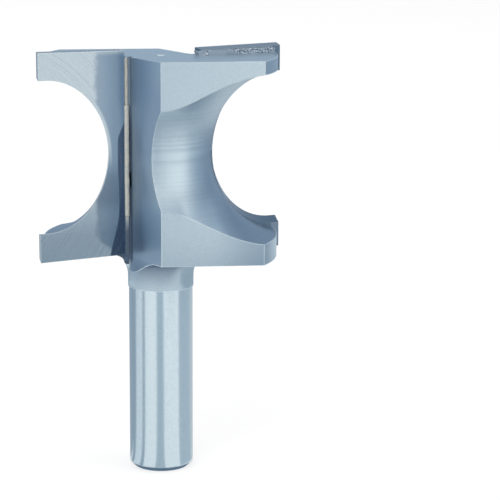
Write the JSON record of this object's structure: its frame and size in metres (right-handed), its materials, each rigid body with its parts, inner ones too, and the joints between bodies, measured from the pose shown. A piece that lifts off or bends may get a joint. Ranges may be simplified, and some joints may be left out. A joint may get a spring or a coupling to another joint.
{
  "type": "router bit",
  "caption": "Half-round router bit: a straight shank, a relieved steel head and brazed carbide tips that cut a rounded edge.",
  "frame": {"origin": "centre of the shank's end face", "axes": "+Z along the shank's axis towards the head; the cutting edges lie in the XZ plane, tip 1 on +X and tip 2 on -X"},
  "size_m": [0.05, 0.0346, 0.0844],
  "materials": {
    "steel": "turned and ground steel, satin, with fine marks around the axis",
    "carbide": "ground tungsten carbide, smooth, with faint curved grinding marks",
    "braze": "dull silver braze, lumpy where it ran out"
  },
  "bodies": {
    "root": {"cutter_body": "steel", "carbide_tip_1": "carbide", "carbide_tip_2": "carbide", "braze_joint_1": "braze", "braze_joint_2": "braze"}
  },
  "joints": []
}
